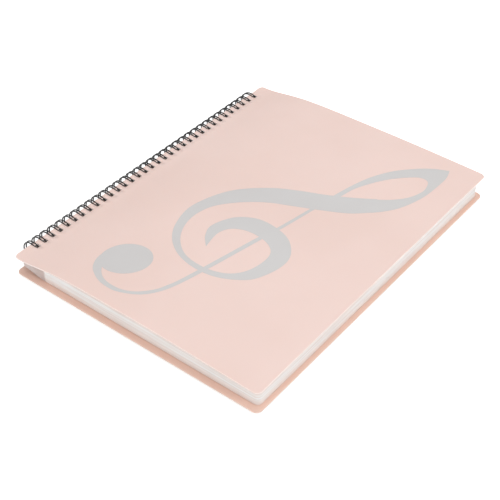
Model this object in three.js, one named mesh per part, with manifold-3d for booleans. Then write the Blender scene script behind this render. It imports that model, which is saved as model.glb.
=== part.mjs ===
// Music folder: clear pocket leaves between two soft plastic covers, held by a double-loop wire
// along the spine. Millimetres, +X from spine to fore-edge, +Y from tail to head, +Z up.
import * as THREE from 'three';
import { mergeGeometries, mergeVertices } from 'three/addons/utils/BufferGeometryUtils.js';
import Module from 'manifold-3d';

const wasm = await Module();
wasm.setup();

// Covers
const coverWidth = 240;
const coverLength = 317;
const coverThickness = 1;
const coverCornerRadius = 5;

// Height over the outside of both covers: on the binding strip, in the middle and at the fore-edge
const stackAtSpine = 16;
const stackAtPanel = 23.5;
const stackAtFore = 21.5;
const bindingStripWidth = 13;
const riseWidth = 24;
const crestFromSpine = 120;

// Pocket leaves, one closed block
const leafForeInset = 4.5;
const leafTailInset = 7;
const leafHeadInset = 4;
const leafSpineInset = 1;
const leafCornerRadius = 4;
const leafMarginLift = 3;
const leafLayers = 8;
const leafLayerDepth = 0.5;
const restGap = 0.3;

// Double-loop wire, three loops to the inch
const loopPitch = 25.4 / 3;
const loopCount = 34;
const firstLoopFromTail = 20;
const wireDiameter = 1;
const wirePairSpacing = 2.35;
const wireStandOff = 1.3;
const rootBendRadius = 0.8;
const seamSpacing = 1.3;
const ringCentreX = -0.1;

// Punched holes
const holeLength = 5;
const holeWidth = 4.1;
const slotClearance = 0.4;

// Printed treble clef
const printThickness = 0.2;
const printGap = 0.05;
const clefDrawnFor = 240;
const clefBallRadius = 19;
const clefBallCentre = [76, 47];

const ringRadius = stackAtSpine / 2 + wireStandOff;
const ringOuterRadius = ringRadius + wireDiameter / 2;
const undersideZ = ringOuterRadius - stackAtSpine / 2;
const ringCentreZ = ringOuterRadius;
const coverMidHeight = (stackAtSpine - coverThickness) / 2;
const holeCentreX = ringCentreX + Math.sqrt(ringRadius ** 2 - coverMidHeight ** 2);
const wireLeft = ringCentreX - ringOuterRadius;
const clefScale = coverWidth / clefDrawnFor;

const plastic = { roughness: 0.45, metalness: 0 };
const materials = {
  frontCover: new THREE.MeshStandardMaterial({ color: 0xefd5cc, ...plastic }),
  backCover: new THREE.MeshStandardMaterial({ color: 0xe8c4b6, ...plastic }),
  leaves: new THREE.MeshStandardMaterial({ color: 0xece3df, roughness: 0.3, metalness: 0 }),
  wire: new THREE.MeshStandardMaterial({ color: 0x2b2b2e, roughness: 0.35, metalness: 0.3 }),
  print: new THREE.MeshStandardMaterial({ color: 0xcccbc9, roughness: 0.5, metalness: 0 }),
};

function smoothStep(t) {
  const s = Math.min(Math.max(t, 0), 1);
  return s * s * (3 - 2 * s);
}

// How far the block has opened from the binding strip (0) to the full panel (1)
function rise(x) {
  return smoothStep((x - bindingStripWidth) / riseWidth);
}

// Top of the front cover: low on the binding strip, crest in the panel, easing down to the fore-edge
function frontTopZ(x) {
  const droop = Math.max(0, (x - crestFromSpine) / (coverWidth - crestFromSpine)) ** 2;
  const height = stackAtSpine + (stackAtPanel - stackAtSpine) * rise(x);
  return undersideZ + height - (stackAtPanel - stackAtFore) * droop;
}

function frontUndersideZ(x) {
  return frontTopZ(x) - coverThickness;
}

function backTopZ() {
  return undersideZ + coverThickness;
}

function leafTopZ(x) {
  return frontUndersideZ(x) - restGap;
}

// The leaves clear the wire's seam along the binding strip, then lie on the back cover
function leafBottomZ(x) {
  return backTopZ() + restGap + (leafMarginLift - restGap) * (1 - rise(x));
}

function spread(from, to, parts) {
  return Array.from({ length: parts + 1 }, (_, i) => from + (to - from) * i / parts);
}

// X stations across a sheet with two rounded ends: fine in the corners and where the sheet bends
function stationsAcross(x0, x1, radius) {
  const corner = spread(0, Math.PI / 2, 3).map((turn) => radius * (1 - Math.cos(turn)));
  const bendStart = Math.max(bindingStripWidth, x0 + radius + 1);
  const bend = spread(bendStart, bendStart + riseWidth, 5);
  const droop = spread(crestFromSpine, x1 - radius, 5).slice(0, -1);
  return [...corner.map((c) => x0 + c), ...bend, ...droop, ...corner.map((c) => x1 - c).reverse()];
}

// Closed loop of points round a rounded rectangle: one point per station at the tail, then at the head
function outlineRing({ x0, x1, y0, y1, radius }, stations, inset, heightAt) {
  const points = stations.map((x) => {
    const fromEnd = Math.min(x - x0, x1 - x, radius);
    const cut = radius - Math.sqrt(Math.max(0, radius ** 2 - (radius - fromEnd) ** 2));
    const shrink = 1 - 2 * inset / (x1 - x0);
    const px = (x0 + x1) / 2 + (x - (x0 + x1) / 2) * shrink;
    return { x: px, low: y0 + cut + inset, high: y1 - cut - inset, z: heightAt(x) };
  });
  const tail = points.map((p) => [p.x, p.low, p.z]);
  const head = points.map((p) => [p.x, p.high, p.z]).reverse();
  return [...tail, ...head];
}

// Solid through a stack of rings, each the outline at its own height and inset, bottom ring first
function stackedSolid(outline, levels) {
  const stations = stationsAcross(outline.x0, outline.x1, outline.radius);
  const rings = levels.map(({ inset, heightAt }) => outlineRing(outline, stations, inset, heightAt));
  const size = rings[0].length;
  const index = [];
  for (let level = 0; level + 1 < rings.length; level += 1) {
    for (let i = 0; i < size; i += 1) {
      const a = level * size + i;
      const b = level * size + (i + 1) % size;
      index.push(a, b, b + size, a, b + size, a + size);
    }
  }
  const top = (rings.length - 1) * size;
  for (let i = 0; i + 1 < size / 2; i += 1) {
    const j = size - 1 - i;
    index.push(i, j, j - 1, i, j - 1, i + 1);
    index.push(top + i, top + i + 1, top + j - 1, top + i, top + j - 1, top + j);
  }
  return indexedGeometry(rings.flat(2), index);
}

function indexedGeometry(positions, index) {
  const geometry = new THREE.BufferGeometry();
  geometry.setAttribute('position', new THREE.Float32BufferAttribute(positions, 3));
  geometry.setIndex(index);
  geometry.computeVertexNormals();
  return geometry;
}

function toManifold(geometry) {
  const bare = geometry.clone();
  bare.deleteAttribute('normal');
  bare.deleteAttribute('uv');
  const merged = mergeVertices(bare, 1e-5);
  return new wasm.Manifold(new wasm.Mesh({
    numProp: 3,
    vertProperties: new Float32Array(merged.attributes.position.array),
    triVerts: new Uint32Array(merged.index.array),
  }));
}

function fromManifold(solid) {
  const mesh = solid.getMesh();
  return indexedGeometry(Array.from(mesh.vertProperties), Array.from(mesh.triVerts));
}

function loopY(k) {
  return firstLoopFromTail + k * loopPitch;
}

// One box per loop, from x0 to x1, tall enough to pass right through the stack
function holeCutters(x0, x1) {
  const height = 4 * stackAtPanel;
  const boxes = Array.from({ length: loopCount }, (_, k) => {
    const box = new THREE.BoxGeometry(x1 - x0, holeWidth, height);
    return box.translate((x0 + x1) / 2, loopY(k), 0);
  });
  return toManifold(mergeGeometries(boxes));
}

const coverOutline = { x0: 0, x1: coverWidth, y0: 0, y1: coverLength, radius: coverCornerRadius };

function coverGeometry(bottomAt, topAt) {
  const sheet = stackedSolid(coverOutline, [
    { inset: 0, heightAt: bottomAt },
    { inset: 0, heightAt: topAt },
  ]);
  const holes = holeCutters(holeCentreX - holeLength / 2, holeCentreX + holeLength / 2);
  return fromManifold(toManifold(sheet).subtract(holes));
}

// The leaves' edges show as fine layers: a shallow groove between each pair of layers
function leavesGeometry() {
  const outline = {
    x0: leafSpineInset,
    x1: coverWidth - leafForeInset,
    y0: leafTailInset,
    y1: coverLength - leafHeadInset,
    radius: leafCornerRadius,
  };
  const heightAt = (part) => (x) => leafBottomZ(x) + (leafTopZ(x) - leafBottomZ(x)) * part;
  const levels = [{ inset: leafLayerDepth, heightAt: heightAt(0) }];
  for (let layer = 0; layer < leafLayers; layer += 1) {
    levels.push({ inset: 0, heightAt: heightAt((layer + 0.5) / leafLayers) });
    levels.push({ inset: leafLayerDepth, heightAt: heightAt((layer + 1) / leafLayers) });
  }
  const slots = holeCutters(holeCentreX - holeLength / 2, ringCentreX + ringOuterRadius + slotClearance);
  return fromManifold(toManifold(stackedSolid(outline, levels)).subtract(slots));
}

// The wire is one serpentine drawn on a cylinder: each point is an angle round the ring and a place
// along the spine. Roots link the loops on the leaves' side of the seam, U-shaped tips close them.
function wirePath() {
  const half = wirePairSpacing / 2;
  const seamZ = backTopZ() + leafMarginLift / 2 - ringCentreZ;
  const seamAngle = Math.asin(seamZ / ringRadius);
  const rootAngle = seamAngle + seamSpacing / 2 / ringRadius;
  const legStart = rootAngle + rootBendRadius / ringRadius;
  const tipAngle = 2 * Math.PI + seamAngle - seamSpacing / 2 / ringRadius;
  const legEnd = tipAngle - half / ringRadius;
  const legAngles = [legStart, ...spread(0, 11 * Math.PI / 6, 11).filter((a) => a < legEnd - 0.1), legEnd];
  const path = [];
  for (let k = 0; k < loopCount; k += 1) {
    const y = loopY(k);
    legAngles.forEach((angle) => path.push([angle, y - half]));
    spread(0, Math.PI, 3).slice(1, -1).forEach((turn) => {
      path.push([legEnd + half * Math.sin(turn) / ringRadius, y - half * Math.cos(turn)]);
    });
    [...legAngles].reverse().forEach((angle) => path.push([angle, y + half]));
    if (k + 1 < loopCount) {
      path.push([rootAngle, y + half + rootBendRadius]);
      path.push([rootAngle, loopY(k + 1) - half - rootBendRadius]);
    }
  }
  return path;
}

function ringPoint([angle, y]) {
  return new THREE.Vector3(
    ringCentreX + ringRadius * Math.cos(angle),
    y,
    ringCentreZ + ringRadius * Math.sin(angle),
  );
}

function wireGeometry() {
  const path = wirePath();
  const centres = path.map(ringPoint);
  const sides = 4;
  const positions = [];
  const index = [];
  centres.forEach((centre, i) => {
    const outward = new THREE.Vector3(Math.cos(path[i][0]), 0, Math.sin(path[i][0]));
    const before = centres[Math.max(i - 1, 0)];
    const after = centres[Math.min(i + 1, centres.length - 1)];
    const along = after.clone().sub(before).normalize();
    const across = along.clone().cross(outward).normalize();
    for (let s = 0; s < sides; s += 1) {
      const turn = 2 * Math.PI * s / sides;
      const point = centre.clone()
        .addScaledVector(outward, Math.cos(turn) * wireDiameter / 2)
        .addScaledVector(across, Math.sin(turn) * wireDiameter / 2);
      positions.push(point.x, point.y, point.z);
    }
  });
  for (let i = 0; i + 1 < centres.length; i += 1) {
    for (let s = 0; s < sides; s += 1) {
      const a = i * sides + s;
      const b = i * sides + (s + 1) % sides;
      index.push(a, b, b + sides, a, b + sides, a + sides);
    }
  }
  const last = (centres.length - 1) * sides;
  for (let s = 1; s + 1 < sides; s += 1) {
    index.push(0, s + 1, s);
    index.push(last, last + s, last + s + 1);
  }
  return indexedGeometry(positions, index);
}

// Outline through hand-placed points: each list is one smooth curve, and the curves meet at corners
function printShape(...curves) {
  const scaled = (points) => points.map(([x, y]) => new THREE.Vector2(x * clefScale, y * clefScale));
  const shape = new THREE.Shape();
  shape.moveTo(...scaled(curves[0])[0].toArray());
  curves.forEach((points) => shape.splineThru(scaled(points.slice(1))));
  return shape;
}

const clefTopLoop = printShape(
  [[155, 214], [159, 232], [165, 253], [175, 272], [189, 288], [201, 297], [213, 302]],
  [[213, 302], [216, 291], [216, 275], [215, 260], [211, 246], [205, 231], [195, 217]],
  [[195, 217], [183, 228]],
  [[183, 228], [195, 238], [205, 249], [210, 262], [209, 272], [205, 278], [197, 277], [187, 269],
    [178, 257], [170, 244], [164, 229], [161, 213]],
);

const clefSwirl = printShape(
  [[200, 224], [181, 203], [162, 192], [140, 182], [119, 172], [101, 157], [88, 140], [83, 123],
    [85, 106], [93, 91], [106, 80], [121, 76], [137, 77], [150, 83], [158, 94], [161, 109],
    [159, 121], [151, 128], [139, 131], [126, 130], [116, 124], [112, 113], [115, 96]],
  [[115, 96], [106, 106], [102, 119], [110, 138], [126, 148], [145, 148], [161, 142], [173, 128],
    [175, 111], [168, 90], [156, 79], [140, 72], [121, 70], [102, 73], [84, 86], [74, 104],
    [72, 126], [79, 152], [91, 172], [111, 190], [133, 203], [156, 212], [188, 231]],
);

const clefStem = printShape(
  [[156, 193], [154, 185], [148, 149], [144, 131], [133, 75], [127, 49], [121, 34], [112, 23],
    [99, 16], [89, 14], [76, 17], [64, 24], [58, 34], [57, 44]],
  [[57, 44], [69, 29]],
  [[69, 29], [74, 23], [86, 19], [99, 21], [110, 28], [119, 39], [123, 51], [129, 75], [140, 130],
    [145, 150], [151, 185], [152, 193]],
);

const clefBall = new THREE.Shape().absarc(
  clefBallCentre[0] * clefScale,
  clefBallCentre[1] * clefScale,
  clefBallRadius * clefScale,
  0,
  2 * Math.PI,
);

// A thin field that follows the cover: the clef's prism kept inside a skin just above the cover
function printGeometry() {
  const skin = stackedSolid(coverOutline, [
    { inset: 0, heightAt: (x) => frontTopZ(x) + printGap },
    { inset: 0, heightAt: (x) => frontTopZ(x) + printGap + printThickness },
  ]);
  const prism = (shape, curveSegments) => toManifold(new THREE.ExtrudeGeometry(shape, {
    depth: 4 * stackAtPanel,
    bevelEnabled: false,
    curveSegments,
  }));
  const strokes = [clefTopLoop, clefSwirl, clefStem].map((shape) => prism(shape, 2));
  const clef = strokes.reduce((sum, stroke) => sum.add(stroke), prism(clefBall, 12));
  return fromManifold(toManifold(skin).intersect(clef));
}

function namedMesh(name, geometry, material) {
  const mesh = new THREE.Mesh(geometry, material);
  mesh.name = name;
  return mesh;
}

const folder = new THREE.Group();
folder.add(namedMesh('back_cover', coverGeometry(() => undersideZ, backTopZ), materials.backCover));
folder.add(namedMesh('pocket_leaves', leavesGeometry(), materials.leaves));
folder.add(namedMesh('front_cover', coverGeometry(frontUndersideZ, frontTopZ), materials.frontCover));
folder.add(namedMesh('clef_print', printGeometry(), materials.print));
folder.add(namedMesh('wire_binding', wireGeometry(), materials.wire));

// The origin is under the middle of everything, on the surface that the folder lies on
folder.position.set(-(wireLeft + coverWidth) / 2, -coverLength / 2, 0);

export default folder;
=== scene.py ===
"""Music folder: soft plastic covers with a printed clef, film pocket leaves and a double-loop wire.

The shapes are worked out in millimetres from the spine and tail edges of the covers, with +X towards
the fore-edge, +Y towards the head and +Z up, and put into the meshes in metres.
"""

import math

import bpy
import numpy as np
from mathutils import Matrix, Vector
from mathutils.geometry import delaunay_2d_cdt


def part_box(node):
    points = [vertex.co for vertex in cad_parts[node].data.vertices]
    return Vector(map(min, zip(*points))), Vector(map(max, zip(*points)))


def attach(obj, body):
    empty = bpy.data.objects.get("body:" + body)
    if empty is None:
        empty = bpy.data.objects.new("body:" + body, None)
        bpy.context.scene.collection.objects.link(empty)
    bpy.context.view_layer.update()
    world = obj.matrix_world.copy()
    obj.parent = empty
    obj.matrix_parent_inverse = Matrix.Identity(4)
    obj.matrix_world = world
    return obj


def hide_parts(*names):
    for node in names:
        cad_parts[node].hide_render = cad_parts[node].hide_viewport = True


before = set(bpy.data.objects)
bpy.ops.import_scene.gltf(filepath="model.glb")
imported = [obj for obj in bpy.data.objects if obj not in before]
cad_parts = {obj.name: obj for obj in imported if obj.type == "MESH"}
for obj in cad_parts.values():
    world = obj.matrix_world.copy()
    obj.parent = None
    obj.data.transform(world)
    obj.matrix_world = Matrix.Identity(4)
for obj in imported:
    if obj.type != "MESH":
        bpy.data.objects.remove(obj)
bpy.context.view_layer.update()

MM = 0.001

# Covers, the height of the closed folder over the outside of both, and how the front's corners hang
# and stand up
COVER_WIDTH = 240.0
COVER_LENGTH = 317.0
COVER_THICKNESS = 1.0
FRONT_CORNER = 4.5
BACK_CORNER = 5.0
COVER_EDGE_ROUNDING = 0.3
STACK_AT_SPINE = 16.8
RING_SPAN = 16.0
STACK_AT_PANEL = 23.5
STACK_AT_FORE = 21.5
BINDING_STRIP = 6.0
CREST_FROM_SPINE = 120.0
RISE_POWER = 6
CORNER_SAG = 1.2
SAG_REACH_X = 120.0
SAG_REACH_Y = 90.0
HEAD_LIFT = 0.8
LIFT_REACH_X = 40.0
LIFT_REACH_Y = 14.0

# Pocket leaves
LEAF_FORE_INSET = 3.8
LEAF_TAIL_INSET = 5.8
LEAF_HEAD_INSET = 4.0
LEAF_SPINE_INSET = 1.0
LEAF_CORNER = 4.0
LEAF_COUNT = 40
LEAF_EDGE_FROM = 0.25
LEAF_EDGE_TO = 0.7
LEAF_GROOVE = 0.25
LEAF_WANDER = 0.28
LONG_WAVE = 53.0
SHORT_WAVE = 17.0
GOLDEN_TURN = 2.399
LEAF_MARGIN = 27.0
LEAF_MARGIN_LIFT = 4.0
SEAM_ROOM = 3.0
REST_GAP = 0.15
WELD_INSET = 3.5
WELD_WIDTH = 0.9
# How high up the leaves the painted pink bounce light from the back cover reaches
PAINTED_BOUNCE_HEIGHT = 7.0
MARGIN_BLUR = 1.5

# Double-loop wire and the holes that it runs through
LOOP_PITCH = 25.4 / 3
LOOP_COUNT = 34
FIRST_LOOP = 20.0
WIRE_DIAMETER = 1.16
WIRE_PAIR = 2.35
WIRE_STAND_OFF = 1.22
ROOT_BEND = 0.8
SEAM_SPACING = 1.3
RING_X = -0.1
HOLE_LENGTH = 4.2
HOLE_WIDTH = 4.1
SLOT_CLEARANCE = 0.4

# Printed clef
PRINT_LIFT = 0.03
PRINT_THICKNESS = 0.06
PRINT_CELL = 4.0
CLEF_BALL_CENTRE = (76.2, 47.0)
CLEF_BALL_LONG = 20.8
CLEF_BALL_SHORT = 17.6
CLEF_BALL_TILT = math.radians(42)

RING_RADIUS = RING_SPAN / 2 + WIRE_STAND_OFF
RING_Z = RING_RADIUS + WIRE_DIAMETER / 2
UNDERSIDE_Z = RING_Z - RING_SPAN / 2
BACK_TOP_Z = UNDERSIDE_Z + COVER_THICKNESS
HOLE_X = RING_X + math.sqrt(RING_RADIUS**2 - ((RING_SPAN - COVER_THICKNESS) / 2) ** 2)

# The covers' spine and tail corner in the part's frame
SPINE_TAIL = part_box("front_cover")[0]

# Plan outlines: spine side, fore side, tail, head and corner radius
FRONT_OUTLINE = (0.0, COVER_WIDTH, 0.0, COVER_LENGTH, FRONT_CORNER)
BACK_OUTLINE = (0.0, COVER_WIDTH, 0.0, COVER_LENGTH, BACK_CORNER)
LEAF_OUTLINE = (LEAF_SPINE_INSET, COVER_WIDTH - LEAF_FORE_INSET,
                LEAF_TAIL_INSET, COVER_LENGTH - LEAF_HEAD_INSET, LEAF_CORNER)

# Where the holes and slots start and end across the spine
COVER_HOLE = (HOLE_X - HOLE_LENGTH / 2, HOLE_X + HOLE_LENGTH / 2)
LEAF_HOLE = (HOLE_X - HOLE_LENGTH / 2, RING_X + RING_Z + SLOT_CLEARANCE)

# How finely the meshes are cut
GRID_STEP = 4.0
CORNER_STEPS = 8
CORNER_BAND = 2.2
WALL_STEPS = 6
LEG_STEPS = 51
TIP_STEPS = 12
ROOT_STEPS = 4
WIRE_SIDES = 12
BALL_STEPS = 72


# Shapes

def loop_ys():
    """Each loop's middle along the spine: the first loop plus whole pitches."""
    return FIRST_LOOP + LOOP_PITCH * np.arange(LOOP_COUNT)


def smooth_step(t):
    """Cubic that runs from 0 to 1 with level ends: 3t^2 - 2t^3."""
    s = np.clip(t, 0, 1)
    return s * s * (3 - 2 * s)


def rise(x):
    """How far the block has opened: 0 on the binding strip, 1 at the crest. It leaves the strip level
    and eases on to the crest: 1 - (1 - u)^n (1 + nu), where u runs from the strip to the crest."""
    u = np.clip((x - BINDING_STRIP) / (CREST_FROM_SPINE - BINDING_STRIP), 0, 1)
    return 1 - (1 - u) ** RISE_POWER * (1 + RISE_POWER * u)


def sag(x, y):
    """How far the corner at the tail and fore-edge hangs: it eases in along both edges."""
    along_tail = smooth_step((x - COVER_WIDTH + SAG_REACH_X) / SAG_REACH_X)
    return CORNER_SAG * along_tail * np.clip(1 - y / SAG_REACH_Y, 0, 1) ** 2


def lift(x, y):
    """How far the free corner past the last loop, at the head and spine, stands up: two parabolas."""
    along_head = np.clip(1 - x / LIFT_REACH_X, 0, 1) ** 2
    return HEAD_LIFT * along_head * np.clip(1 - (COVER_LENGTH - y) / LIFT_REACH_Y, 0, 1) ** 2


def front_top(x, y):
    """Top of the front cover: the strip's height, plus the rise and the lift, less a parabola past the
    crest and the sag."""
    droop = np.maximum(0, (x - CREST_FROM_SPINE) / (COVER_WIDTH - CREST_FROM_SPINE)) ** 2
    height = STACK_AT_SPINE + (STACK_AT_PANEL - STACK_AT_SPINE) * rise(x)
    return UNDERSIDE_Z + height - (STACK_AT_PANEL - STACK_AT_FORE) * droop - sag(x, y) + lift(x, y)


def front_underside(x, y):
    """Inner face of the front cover: the top less the sheet."""
    return front_top(x, y) - COVER_THICKNESS


def back_top(x, y):
    """Inner face of the back cover: level all over."""
    return BACK_TOP_Z + 0 * x * y


def back_underside(x, y):
    """Face that the folder lies on: level all over."""
    return UNDERSIDE_Z + 0 * x * y


def leaf_top(x, y):
    """The leaves fill the room under the front cover, less a hair's breadth."""
    return front_underside(x, y) - REST_GAP


def leaf_bottom(x, y):
    """The leaves' margin hangs from the wire, clear of its seam, then they lie on the back cover."""
    hang = 1 - smooth_step(x / LEAF_MARGIN)
    return BACK_TOP_Z + REST_GAP + (LEAF_MARGIN_LIFT - REST_GAP) * hang + 0 * y


def put_mesh(name, points, faces, materials, face_material=None, smooth=True):
    """Mesh object from points in millimetres from the spine and tail corner, moved into place."""
    placed = np.asarray(points, float) * MM + (SPINE_TAIL[0], SPINE_TAIL[1], 0)
    mesh = bpy.data.meshes.new(name)
    mesh.from_pydata(placed.tolist(), [], faces)
    for material in materials:
        mesh.materials.append(material)
    if face_material is not None:
        mesh.polygons.foreach_set("material_index", face_material)
    mesh.polygons.foreach_set("use_smooth", [smooth] * len(mesh.polygons))
    mesh.update()
    piece = bpy.data.objects.new(name, mesh)
    bpy.context.scene.collection.objects.link(piece)
    return piece


def grid_lines(start, end, corner, extra):
    """Lines from start to end: a cosine spacing in both corners, an even step, and the extra ones."""
    turn = np.linspace(0, np.pi / 2, CORNER_STEPS + 1)
    near = start + corner * (1 - np.cos(turn))
    far = end - corner * (1 - np.cos(turn))
    middle = np.arange(start + corner + GRID_STEP, end - corner - GRID_STEP / 2, GRID_STEP)
    extra = np.asarray(extra, float)
    middle = middle[np.abs(middle[:, None] - extra[None, :]).min(axis=1) > GRID_STEP * 0.3]
    lines = np.unique(np.concatenate([near, far, middle, extra]).round(4))
    return lines[np.concatenate([[True], np.diff(lines) > 0.02])]


def rounded_grid(outline, hole_x):
    """Grid of x and y lines over a plan outline. Rows near the tail and head bend to follow the rounded
    corners: a row moves in by the corner's cut, less the further it is from the edge. Also gives which
    of its cells aren't in a hole."""
    x0, x1, y0, y1, corner = outline
    band = CORNER_BAND * corner
    hole_ys = np.concatenate([loop_ys() - HOLE_WIDTH / 2, loop_ys() + HOLE_WIDTH / 2])
    xs = grid_lines(x0, x1, corner, hole_x)
    ys = grid_lines(y0, y1, corner, [*hole_ys, y0 + band, y1 - band])
    gx, gy = np.meshgrid(xs, ys, indexing="ij")
    to_side = np.minimum(np.minimum(gx - x0, x1 - gx), corner)
    cut = corner - np.sqrt(np.maximum(0, corner**2 - (corner - to_side) ** 2))
    from_tail = np.clip(1 - (gy - y0) / band, 0, 1)
    from_head = np.clip(1 - (y1 - gy) / band, 0, 1)
    gy = gy + cut * from_tail - cut * from_head

    middle_x = (xs[:-1] + xs[1:]) / 2
    middle_y = (ys[:-1] + ys[1:]) / 2
    in_x = (middle_x > hole_x[0]) & (middle_x < hole_x[1])
    in_y = np.abs(middle_y[:, None] - loop_ys()[None, :]).min(axis=1) < HOLE_WIDTH / 2
    return gx, gy, ~(in_x[:, None] & in_y[None, :])


def hole_walls(cells, edge, count):
    """Faces down the holes' sides: one on each side of a cell that no other cell shares, and that isn't
    on the outer edge. The top's points are numbered on from the bottom's."""
    pairs = np.concatenate([cells[:, [0, 1]], cells[:, [1, 2]], cells[:, [2, 3]], cells[:, [3, 0]]])
    both_ways = {(a, b) for a, b in pairs.tolist()}
    rim = set(edge.tolist())
    sides = [(a, b) for a, b in both_ways if (b, a) not in both_ways and not (a in rim and b in rim)]
    return np.array([(b + count, a + count, a, b) for a, b in sorted(sides)])


def slab(name, outline, hole_x, top_at, bottom_at, wall, materials):
    """Closed slab with a row of holes along the spine.

    Top and bottom are one rounded grid at two heights. The outer wall carries the grid's edge from the
    bottom to the top. At each of its levels, given as (share of the height, inset, wander), the edge is
    drawn in to the middle by the inset, and moves along its own normal by the wander. The holes' walls
    run straight from top to bottom.
    """
    x0, x1, y0, y1 = outline[:4]
    gx, gy, kept = rounded_grid(outline, hole_x)
    count = gx.size
    ids = np.arange(count).reshape(gx.shape)
    cells = np.stack([ids[:-1, :-1], ids[1:, :-1], ids[1:, 1:], ids[:-1, 1:]], axis=-1)[kept]

    edge = np.concatenate([ids[:-1, 0], ids[-1, :-1], ids[:0:-1, -1], ids[0, :0:-1]])
    ex, ey = gx.ravel()[edge], gy.ravel()[edge]
    tangent = np.stack([np.roll(ex, -1) - np.roll(ex, 1), np.roll(ey, -1) - np.roll(ey, 1)])
    normal = np.stack([tangent[1], -tangent[0]]) / np.linalg.norm(tangent, axis=0)
    along = np.cumsum(np.hypot(ex - np.roll(ex, 1), ey - np.roll(ey, 1)))

    def drawn_in(x, y, inset):
        cx, cy = (x0 + x1) / 2, (y0 + y1) / 2
        shrink_x, shrink_y = 1 - 2 * inset / (x1 - x0), 1 - 2 * inset / (y1 - y0)
        return cx + (x - cx) * shrink_x, cy + (y - cy) * shrink_y

    def level(x, y, share, inset, shift=0.0):
        low, high = bottom_at(x, y), top_at(x, y)
        in_x, in_y = drawn_in(x, y, inset)
        out_x, out_y = shift * normal if np.ndim(shift) else (0.0, 0.0)
        return np.stack([in_x - out_x, in_y - out_y, low + (high - low) * share], axis=1)

    bottom = level(gx.ravel(), gy.ravel(), 0, wall[0][1])
    top = level(gx.ravel(), gy.ravel(), 1, wall[-1][1])
    between = [level(ex, ey, share, inset, wander(along) if callable(wander) else wander)
               for share, inset, wander in wall[1:-1]]
    rows = [2 * count + k * len(edge) + np.arange(len(edge)) for k in range(len(between))]
    rows = np.array([edge, *rows, edge + count])
    after = np.roll(rows, -1, axis=1)
    walls = np.stack([rows[:-1], after[:-1], after[1:], rows[1:]], axis=-1).reshape(-1, 4)
    holes = hole_walls(cells, edge, count)

    faces = np.concatenate([cells + count, cells[:, ::-1], walls, holes])
    kind = np.concatenate([np.zeros(2 * len(cells), int), np.ones(len(walls) + len(holes), int)])
    used, faces = np.unique(faces, return_inverse=True)
    points = np.concatenate([bottom, top, *between])[used]
    return put_mesh(name, points, faces.reshape(-1, 4).tolist(), materials, kind.tolist())


def cover_wall():
    """Levels of a cover's wall: half an ellipse, from the bottom face round to the top face."""
    turn = np.linspace(0, np.pi, WALL_STEPS + 1)
    return [((1 - math.cos(t)) / 2, COVER_EDGE_ROUNDING * (1 - math.sin(t)), 0.0) for t in turn]


def leaf_wall():
    """Levels of the leaves' wall: a groove between each two leaves, and a flat edge over the middle
    share of each. A leaf's edge stands in or out by a sine of its number, and wanders along the block
    by two slow sine waves of its own phase."""
    levels = []
    for leaf in range(LEAF_COUNT):
        phase = leaf * GOLDEN_TURN

        def wander(s, phase=phase):
            own = math.sin(phase * 1.7)
            drift = np.sin(s / LONG_WAVE + phase) + 0.5 * np.sin(s / SHORT_WAVE + 2.3 * phase)
            return LEAF_WANDER * (0.5 + 0.3 * own + 0.15 * drift)

        levels.append((leaf / LEAF_COUNT, LEAF_GROOVE, 0.0 if leaf == 0 else wander))
        levels.append(((leaf + LEAF_EDGE_FROM) / LEAF_COUNT, 0.0, wander))
        levels.append(((leaf + LEAF_EDGE_TO) / LEAF_COUNT, 0.0, wander))
    return levels + [(1.0, LEAF_GROOVE, 0.0)]


def wire_path():
    """Angle round the ring and place along the spine of each point of the wire's centre line.

    One loop is a quarter bend out of the root, a leg round the ring, half a circle at the tip, a leg
    back and a quarter bend into the next root. It's drawn flat, rolled on to the ring and repeated.
    """
    half = WIRE_PAIR / 2
    seam = math.asin((BACK_TOP_Z + SEAM_ROOM / 2 - RING_Z) / RING_RADIUS)
    root = seam + SEAM_SPACING / 2 / RING_RADIUS
    start = root + ROOT_BEND / RING_RADIUS
    end = 2 * math.pi + seam - SEAM_SPACING / 2 / RING_RADIUS - half / RING_RADIUS
    quarter = np.linspace(0, np.pi / 2, ROOT_STEPS + 1)[:-1]
    bend = np.stack([root + ROOT_BEND / RING_RADIUS * (1 - np.cos(quarter)),
                     -half - ROOT_BEND * (1 - np.sin(quarter))])
    leg_angle = np.linspace(start, end, LEG_STEPS + 1)
    leg = np.stack([leg_angle, np.full_like(leg_angle, -half)])
    turn = np.linspace(0, np.pi, TIP_STEPS + 1)[1:-1]
    tip = np.stack([end + half / RING_RADIUS * np.sin(turn), -half * np.cos(turn)])
    one_way = np.concatenate([bend, leg], axis=1)
    back = one_way[:, ::-1] * [[1], [-1]]
    loop = np.concatenate([one_way, tip, back], axis=1)
    angle = np.tile(loop[0], LOOP_COUNT)
    along = (loop[1][None, :] + loop_ys()[:, None]).ravel()
    return angle[ROOT_STEPS:-ROOT_STEPS], along[ROOT_STEPS:-ROOT_STEPS]


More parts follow.
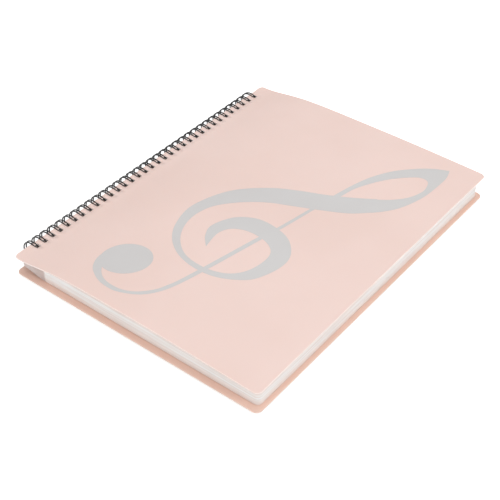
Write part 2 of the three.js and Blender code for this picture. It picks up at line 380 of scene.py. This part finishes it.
def wire_tube(name, material):
    """Round tube: at each point a circle spanned by the ring's outward direction and the one across."""
    angle, y = wire_path()
    outward = np.stack([np.cos(angle), np.zeros_like(angle), np.sin(angle)], axis=1)
    centre = np.array([RING_X, 0, RING_Z]) + RING_RADIUS * outward + np.stack([0 * y, y, 0 * y], axis=1)
    tangent = np.gradient(centre, axis=0)
    tangent /= np.linalg.norm(tangent, axis=1)[:, None]
    across = np.cross(tangent, outward)
    across /= np.linalg.norm(across, axis=1)[:, None]
    turn = 2 * np.pi * np.arange(WIRE_SIDES)[None, :, None] / WIRE_SIDES
    circle = outward[:, None] * np.cos(turn) + across[:, None] * np.sin(turn)
    points = (centre[:, None] + WIRE_DIAMETER / 2 * circle).reshape(-1, 3)
    ids = np.arange(len(points)).reshape(-1, WIRE_SIDES)
    after = np.roll(ids, -1, axis=1)
    faces = np.stack([ids[:-1], after[:-1], after[1:], ids[1:]], axis=-1).reshape(-1, 4).tolist()
    faces += [ids[0][::-1].tolist(), ids[-1].tolist()]
    return put_mesh(name, points, faces, [material])


CLEF_TOP_LOOP = (
    ((153, 199), (156, 212), (160, 232), (166, 252), (176, 271), (189, 286), (201, 296), (213, 302)),
    ((213, 302), (216, 291), (216, 275), (215, 260), (212, 246), (206, 230), (197, 217), (190, 210)),
    ((190, 210), (183, 227)),
    ((183, 227), (195, 236), (205, 248), (210, 262), (209, 272), (205, 278), (197, 277), (187, 268),
     (178, 257), (170, 243), (164, 229), (161, 213), (158, 199)),
)

CLEF_SWIRL = (
    ((197, 217), (190, 210), (179, 200), (161, 190), (140, 180), (119, 170), (102, 157), (88, 140),
     (83, 123), (85, 106), (93, 91), (106, 80), (121, 76), (137, 77), (150, 83), (158, 94),
     (161, 109), (159, 121), (151, 128), (139, 131), (126, 130), (116, 124), (112, 113), (115, 96)),
    ((115, 96), (106, 106), (102, 119), (110, 138), (126, 148), (145, 148), (161, 142), (173, 128),
     (175, 111), (168, 90), (156, 79), (140, 72), (121, 71), (103, 76), (88, 87), (78, 103),
     (73, 126), (79, 151), (90, 170), (110, 188), (130, 199), (150, 208), (170, 219), (188, 231)),
)

CLEF_STEM = (
    ((156, 193), (154, 185), (148, 149), (144, 131), (133, 75), (127, 49), (121, 34), (112, 23),
     (99, 16), (89, 14), (76, 16), (64, 23), (58, 33), (57, 44)),
    ((57, 44), (68, 29)),
    ((68, 29), (72, 24), (78, 20), (87, 18), (98, 19), (108, 24), (117, 34), (121, 43), (124, 52),
     (129, 75), (140, 130), (145, 150), (151, 185), (152, 193)),
)


def spline(points, steps=8):
    """Smooth curve through the points: a Catmull-Rom cubic on each stretch, ends held."""
    p = np.array(points, float)
    before, after = np.vstack([p[:1], p[:-1]]), np.vstack([p[1:], p[-1:]])
    slope = (after - before) / 2
    a, b, u, v = p[:-1, None], p[1:, None], slope[:-1, None], slope[1:, None]
    t = (np.arange(steps) / steps)[None, :, None]
    curve = a + u * t + (3 * (b - a) - 2 * u - v) * t**2 + (2 * (a - b) + u + v) * t**3
    return curve.reshape(-1, 2)


def inside(outline, points):
    """Whether each point is inside a closed outline: a line to its right crosses it an odd number of
    times."""
    a, b = outline, np.roll(outline, -1, axis=0)
    x, y = points[:, :1], points[:, 1:]
    spans = (a[:, 1] > y) != (b[:, 1] > y)
    slope = (b[:, 0] - a[:, 0]) / np.where(a[:, 1] == b[:, 1], 1, b[:, 1] - a[:, 1])
    return (spans & (x < a[:, 0] + (y - a[:, 1]) * slope)).sum(axis=1) % 2 == 1


def clef_print(name, material):
    """Field of ink: the strokes' outlines and a net of points between, joined as one triangle mesh,
    and laid on the cover. Its underside is the same mesh turned over. The ball is a leaning ellipse."""
    turn = np.linspace(0, 2 * np.pi, BALL_STEPS + 1)[:-1]
    lean = np.array([math.cos(CLEF_BALL_TILT), math.sin(CLEF_BALL_TILT)])
    ball = (np.array(CLEF_BALL_CENTRE) + CLEF_BALL_LONG * np.cos(turn)[:, None] * lean
            + CLEF_BALL_SHORT * np.sin(turn)[:, None] * (-lean[1], lean[0]))
    outlines = [np.concatenate([spline(curve) for curve in stroke])
                for stroke in (CLEF_TOP_LOOP, CLEF_SWIRL, CLEF_STEM)] + [ball]
    net = np.stack(np.meshgrid(np.arange(50, 225, PRINT_CELL), np.arange(10, 310, PRINT_CELL)), axis=-1)
    flat = np.concatenate([*outlines, net.reshape(-1, 2)])
    faces, first = [], 0
    for outline in outlines:
        faces.append(list(range(first, first + len(outline))))
        first += len(outline)
    found = delaunay_2d_cdt([Vector(p) for p in flat.tolist()], [], faces, 1, 1e-4)
    plan = np.array([tuple(p) for p in found[0]])
    triangles = np.array(found[2])
    centres = plan[triangles].mean(axis=1)
    triangles = triangles[np.any([inside(outline, centres) for outline in outlines], axis=0)]
    a, b, c = plan[triangles[:, 0]], plan[triangles[:, 1]], plan[triangles[:, 2]]
    area = np.cross(b - a, c - a)
    triangles[area < 0] = triangles[area < 0][:, ::-1]
    used, triangles = np.unique(triangles, return_inverse=True)
    plan, triangles = plan[used], triangles.reshape(-1, 3)
    low = np.column_stack([plan, front_top(plan[:, 0], plan[:, 1]) + PRINT_LIFT])
    high = low + (0, 0, PRINT_THICKNESS)
    count = len(plan)
    sides = {(a, b) for t in triangles.tolist() for a, b in zip(t, t[1:] + t[:1])}
    walls = [(a, b, b + count, a + count) for a, b in sorted(sides) if (b, a) not in sides]
    faces = (triangles[:, ::-1].tolist() + (triangles + count).tolist() + walls)
    return put_mesh(name, np.concatenate([low, high]), faces, [material], smooth=False)


# Materials

SHEET_ROUGHNESS = 0.6
SHEET_GRAIN = 2600


def linear(red, green, blue):
    """Linear colour of an 8-bit display colour."""
    def one(v):
        v = v / 255
        return v / 12.92 if v <= 0.04045 else ((v + 0.055) / 1.055) ** 2.4
    return (one(red), one(green), one(blue), 1.0)


class Finish:
    """Node material under construction: a Principled shader and short calls for what feeds it."""

    def __init__(self, name, **values):
        self.material = bpy.data.materials.new(name)
        self.material.use_nodes = True
        self.tree = self.material.node_tree
        self.shader = self.tree.nodes["Principled BSDF"]
        for socket, value in values.items():
            self.shader.inputs[socket.replace("_", " ")].default_value = value
        self.place = self.add("ShaderNodeTexCoord").outputs["Object"]

    def add(self, kind, inputs=(), **settings):
        node = self.tree.nodes.new(kind)
        for key, value in settings.items():
            setattr(node, key, value)
        for key, value in dict(inputs).items():
            if isinstance(value, bpy.types.NodeSocket):
                self.tree.links.new(value, node.inputs[key])
            else:
                node.inputs[key].default_value = value
        return node

    def noise(self, scale, detail=2.0, stretch=(1, 1, 1), roughness=0.5):
        place = self.add("ShaderNodeMapping", {"Vector": self.place, "Scale": stretch}).outputs["Vector"]
        found = self.add("ShaderNodeTexNoise", {
            "Vector": place, "Scale": scale, "Detail": detail, "Roughness": roughness})
        return found.outputs["Fac"]

    def ramp(self, value, low, high, to_low=0.0, to_high=1.0):
        found = self.add("ShaderNodeMapRange", {
            "Value": value, "From Min": low, "From Max": high, "To Min": to_low, "To Max": to_high},
            interpolation_type="SMOOTHSTEP")
        return found.outputs["Result"]

    def math(self, operation, a, b=0.0):
        return self.add("ShaderNodeMath", {0: a, 1: b}, operation=operation).outputs[0]

    def mix(self, share, a, b):
        found = self.add("ShaderNodeMix", {"Factor": share, 6: a, 7: b}, data_type="RGBA")
        return found.outputs[2]

    def feed(self, socket, value):
        self.tree.links.new(value, self.shader.inputs[socket])

    def bump(self, height, distance, strength=1.0):
        found = self.add("ShaderNodeBump", {"Height": height, "Distance": distance, "Strength": strength})
        self.feed("Normal", found.outputs["Normal"])


def sheet_finish(name, colour, paler):
    """Matt moulded sheet: broad cloudy change of colour, fine sand-like grain, and faint rub marks."""
    finish = Finish(name, Roughness=SHEET_ROUGHNESS, IOR=1.42,
                    Subsurface_Weight=0.06, Subsurface_Scale=0.002)
    finish.shader.inputs["Subsurface Radius"].default_value = (1.0, 0.6, 0.45)
    clouds = finish.noise(9, 3)
    grain = finish.noise(SHEET_GRAIN, 2, roughness=0.6)
    tint = finish.math("ADD", finish.ramp(clouds, 0.3, 0.7, 0, 0.75), finish.ramp(grain, 0.3, 0.7, 0, 0.25))
    finish.feed("Base Color", finish.mix(tint, colour, paler))
    rub = finish.noise(60, 4, stretch=(1, 0.15, 1))
    finish.feed("Roughness", finish.ramp(rub, 0.3, 0.75, SHEET_ROUGHNESS - 0.04, SHEET_ROUGHNESS + 0.08))
    finish.bump(grain, 0.00003, 0.6)
    return finish.material


def edge_finish(name, colour, paler):
    """Cut edge of the sheet: paler, where light leaves the sheet, with fine streaks along the cut."""
    finish = Finish(name, Roughness=0.42, IOR=1.49, Subsurface_Weight=0.3, Subsurface_Scale=0.003)
    finish.shader.inputs["Subsurface Radius"].default_value = (1.0, 0.7, 0.6)
    streaks = finish.noise(900, 3, stretch=(0.2, 0.2, 3))
    finish.feed("Base Color", finish.mix(finish.ramp(streaks, 0.3, 0.7), colour, paler))
    finish.bump(streaks, 0.00004, 0.4)
    return finish.material


def weld_lines(finish, axes):
    """Share that is 1 on the welded seam of the pockets, a line along the tail and the fore-edge."""
    fore = finish.math("SUBTRACT", axes["X"], SPINE_TAIL[0] + (LEAF_OUTLINE[1] - WELD_INSET) * MM)
    tail = finish.math("SUBTRACT", axes["Y"], SPINE_TAIL[1] + (LEAF_OUTLINE[2] + WELD_INSET) * MM)
    nearest = finish.math("MINIMUM", finish.math("ABSOLUTE", fore), finish.math("ABSOLUTE", tail))
    return finish.ramp(nearest, WELD_WIDTH * MM, 0.3 * WELD_WIDTH * MM)


def film_finish(name, edge):
    """Stacked film: milky pockets and a greyer perforated binding margin. The edge has one streak for
    each leaf. The face has a broad change of tone and a welded seam along the tail and fore-edge. The
    lowest leaves get a painted pink bounce light from the back cover, which lightens their shade."""
    finish = Finish(name, Roughness=0.3, IOR=1.5, Subsurface_Weight=0.6, Subsurface_Scale=0.006)
    finish.shader.inputs["Subsurface Radius"].default_value = (1.0, 0.9, 0.85)
    axes = finish.add("ShaderNodeSeparateXYZ", {"Vector": finish.place}).outputs
    if edge:
        streaks = finish.noise(420, 3, stretch=(0.02, 0.02, 1.8), roughness=0.6)
        pocket = finish.mix(finish.ramp(streaks, 0.32, 0.66), linear(238, 224, 217), linear(254, 251, 249))
        finish.bump(streaks, 0.00008, 0.5)
    else:
        tone = finish.noise(4, 1)
        weld = weld_lines(finish, axes)
        pocket = finish.mix(finish.ramp(tone, 0.2, 0.8), linear(238, 230, 226), linear(245, 240, 237))
        pocket = finish.mix(weld, pocket, linear(222, 212, 207))
        finish.bump(finish.math("SUBTRACT", tone, weld), 0.0002, 0.4)
    # Painted pink bounce light from the back cover on the lowest leaves, lightening the shade there
    painted_bounce_share = finish.ramp(axes["Z"], BACK_TOP_Z * MM, (BACK_TOP_Z + PAINTED_BOUNCE_HEIGHT) * MM)
    pocket = finish.mix(painted_bounce_share, linear(249, 229, 219), pocket)
    clouds = finish.noise(30, 2, stretch=(1, 1, 3))
    grey = finish.mix(finish.ramp(clouds, 0.35, 0.65), linear(210, 190, 183), linear(226, 210, 204))
    margin_end = SPINE_TAIL[0] + LEAF_MARGIN * MM
    margin = finish.ramp(axes["X"], margin_end + MARGIN_BLUR * MM, margin_end - MARGIN_BLUR * MM)
    finish.feed("Base Color", finish.mix(margin, pocket, grey))
    grain = finish.noise(1500, 2)
    finish.feed("Roughness", finish.ramp(grain, 0.3, 0.7, 0.28, 0.34))
    return finish.material


def ink_finish(name):
    """Flat printed ink: even grey with a faint fine grain, and the sheet's cloudy change under it."""
    finish = Finish(name, Roughness=0.5, IOR=1.45)
    grain = finish.noise(SHEET_GRAIN, 2, roughness=0.6)
    clouds = finish.noise(12, 3)
    tint = finish.math("ADD", finish.ramp(clouds, 0.3, 0.7, 0, 0.6), finish.ramp(grain, 0.3, 0.7, 0, 0.4))
    finish.feed("Base Color", finish.mix(tint, linear(202, 199, 198), linear(208, 206, 205)))
    finish.feed("Roughness", finish.ramp(grain, 0.3, 0.7, 0.45, 0.55))
    finish.bump(grain, 0.00002, 0.5)
    return finish.material


def wire_finish(name):
    """Black coated wire: satin coat, a little uneven, greyer where it's worn."""
    finish = Finish(name, Roughness=0.25, IOR=1.4, Coat_Weight=0.05, Coat_Roughness=0.1)
    wear = finish.noise(350, 4, roughness=0.65)
    worn = finish.ramp(wear, 0.45, 0.75)
    finish.feed("Base Color", finish.mix(worn, linear(6, 6, 7), linear(20, 19, 20)))
    finish.feed("Roughness", finish.ramp(wear, 0.3, 0.7, 0.22, 0.38))
    finish.bump(wear, 0.00004, 0.3)
    return finish.material


front_sheet = sheet_finish("front_sheet_plastic", linear(234, 207, 198), linear(239, 213, 205))
front_edge = edge_finish("front_edge_plastic", linear(240, 220, 212), linear(246, 230, 224))
# The back cover's colours are more orange than the front's: painted warm bounce light between the covers
# and leaves
back_sheet = sheet_finish("back_sheet_plastic_bounce_tinted", linear(237, 203, 186), linear(241, 210, 195))
back_edge = edge_finish("back_edge_plastic", linear(232, 202, 190), linear(239, 213, 203))
film_face = film_finish("film_face", edge=False)
film_edge = film_finish("film_edge", edge=True)

# Pieces

pieces = (
    ("front_cover", "front", slab("front_sheet", FRONT_OUTLINE, COVER_HOLE, front_top, front_underside,
                                  cover_wall(), [front_sheet, front_edge])),
    ("back_cover", "back", slab("back_sheet", BACK_OUTLINE, COVER_HOLE, back_top, back_underside,
                                cover_wall(), [back_sheet, back_edge])),
    ("pocket_leaves", "leaves_and_wire", slab("leaf_stack", LEAF_OUTLINE, LEAF_HOLE, leaf_top, leaf_bottom,
                                              leaf_wall(), [film_face, film_edge])),
    ("clef_print", "front", clef_print("clef_ink", ink_finish("printed_ink"))),
    ("wire_binding", "leaves_and_wire", wire_tube("double_loop_wire", wire_finish("black_coated_wire"))),
)
for node, body, piece in pieces:
    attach(piece, body)
    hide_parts(node)


# Camera: where it stands, in millimetres from the part's origin, and how it's turned
AZIMUTH = math.radians(37.515)
ELEVATION = math.radians(40.160)
ROLL = math.radians(0.525)
DISTANCE = 908.68
SIDESTEP = -3.89
CLIMB = -15.17
FOCAL_PIXELS = 1099.5
PICTURE_PIXELS = 500
SENSOR = 36.0

back = Vector((math.sin(AZIMUTH) * math.cos(ELEVATION),
               -math.cos(AZIMUTH) * math.cos(ELEVATION),
               math.sin(ELEVATION)))
right = Vector((math.cos(AZIMUTH), math.sin(AZIMUTH), 0))
up = back.cross(right)
camera_data = bpy.data.cameras.new("camera")
camera_data.sensor_width = SENSOR
camera_data.lens = FOCAL_PIXELS * SENSOR / PICTURE_PIXELS
camera = bpy.data.objects.new("camera", camera_data)
bpy.context.scene.collection.objects.link(camera)
turned_right = right * math.cos(ROLL) + up * math.sin(ROLL)
turned_up = up * math.cos(ROLL) - right * math.sin(ROLL)
turned = Matrix((turned_right, turned_up, back)).transposed().to_4x4()
stand = (back * DISTANCE + right * SIDESTEP + up * CLIMB) * MM
camera.matrix_world = Matrix.Translation(stand) @ turned
bpy.context.scene.camera = camera


# Floor, world and lights
FLOOR_HALF = 6.0
FLOOR_WHITE = 0.88
FLOOR_LIFT = 0.55
WORLD_LEVEL = 0.5

floor_mesh = bpy.data.meshes.new("floor")
floor_mesh.from_pydata([(-FLOOR_HALF, -FLOOR_HALF, 0), (FLOOR_HALF, -FLOOR_HALF, 0),
                        (FLOOR_HALF, FLOOR_HALF, 0), (-FLOOR_HALF, FLOOR_HALF, 0)], [], [(0, 1, 2, 3)])
floor = bpy.data.objects.new("floor", floor_mesh)
bpy.context.scene.collection.objects.link(floor)


def seen_directly(tree):
    """Share that is 1 for rays from the camera, a mirror or a clear part, and 0 for light."""
    path = tree.nodes.new("ShaderNodeLightPath")
    total = path.outputs["Is Camera Ray"]
    for ray in ("Is Glossy Ray", "Is Transmission Ray"):
        add = tree.nodes.new("ShaderNodeMath")
        add.operation = "MAXIMUM"
        tree.links.new(total, add.inputs[0])
        tree.links.new(path.outputs[ray], add.inputs[1])
        total = add.outputs[0]
    return total


def floor_finish():
    """White floor that keeps the shadow: plain matt white, lifted where it's looked at."""
    material = bpy.data.materials.new("white_floor")
    material.use_nodes = True
    tree = material.node_tree
    shader = tree.nodes["Principled BSDF"]
    shader.inputs["Base Color"].default_value = (FLOOR_WHITE, FLOOR_WHITE, FLOOR_WHITE, 1)
    shader.inputs["Roughness"].default_value = 0.9
    shader.inputs["Emission Color"].default_value = (1, 1, 1, 1)
    glow = tree.nodes.new("ShaderNodeMath")
    glow.operation = "MULTIPLY"
    glow.inputs[1].default_value = FLOOR_LIFT
    tree.links.new(seen_directly(tree), glow.inputs[0])
    tree.links.new(glow.outputs[0], shader.inputs["Emission Strength"])
    return material


floor_mesh.materials.append(floor_finish())

world = bpy.data.worlds.new("studio")
world.use_nodes = True
bpy.context.scene.world = world
background = world.node_tree.nodes["Background"]
background.inputs["Color"].default_value = (1, 1, 1, 1)
level = world.node_tree.nodes.new("ShaderNodeMapRange")
level.inputs["To Min"].default_value = WORLD_LEVEL
level.inputs["To Max"].default_value = 1.0
world.node_tree.links.new(seen_directly(world.node_tree), level.inputs["Value"])
world.node_tree.links.new(level.outputs["Result"], background.inputs["Strength"])


def softbox(name, place, size, power):
    """Square area light that faces the middle of the folder."""
    data = bpy.data.lights.new(name, "AREA")
    data.size = size
    data.energy = power
    light = bpy.data.objects.new(name, data)
    bpy.context.scene.collection.objects.link(light)
    light.location = place
    light.rotation_mode = "QUATERNION"
    light.rotation_quaternion = (-Vector(place)).to_track_quat("-Z", "Y")


softbox("overhead", (0.1, 0.35, 1.5), 1.6, 8.8)
softbox("fore_side", (1.5, -0.1, 0.7), 1.0, 9)
softbox("tail_side", (-0.5, -1.5, 0.6), 1.0, 7)
softbox("spine_side", (-0.9, -0.5, 1.2), 0.3, 1)

bpy.context.scene.view_settings.view_transform = "Standard"
